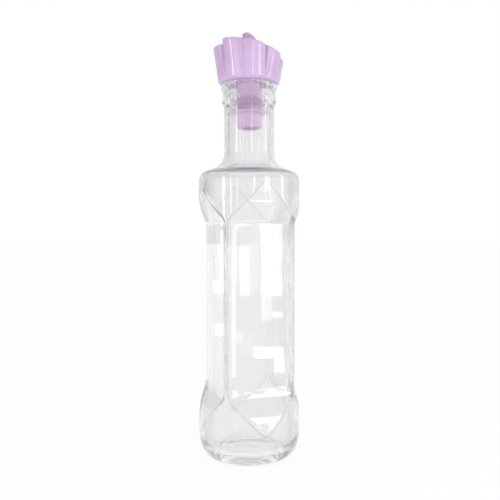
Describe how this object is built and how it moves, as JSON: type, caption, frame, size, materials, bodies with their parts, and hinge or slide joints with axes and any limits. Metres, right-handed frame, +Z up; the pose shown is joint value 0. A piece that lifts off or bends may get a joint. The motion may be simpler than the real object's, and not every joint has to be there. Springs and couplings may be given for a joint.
{
  "type": "oil cruet",
  "caption": "Clear glass table bottle with pressed panels, a long neck, a ringed pouring plug and a fluted flower-shaped plastic collar.",
  "frame": {"origin": "centre of the bearing ring under the bottle, on the bottle's axis", "axes": "+Z up along the bottle's axis; the four pressed panels face +X, -X, +Y and -Y; the collar's low pouring side faces 18.8 degrees from +X towards -Y"},
  "size_m": [0.058, 0.058, 0.2423],
  "materials": {
    "clear_glass": "clear fire-polished soda-lime glass",
    "plug_plastic": "glossy soft plastic, violet",
    "collar_plastic": "glossy moulded plastic, lilac"
  },
  "bodies": {
    "root": {"bottle": "clear_glass", "pour_plug": "plug_plastic", "flower_collar": "collar_plastic"}
  },
  "joints": []
}
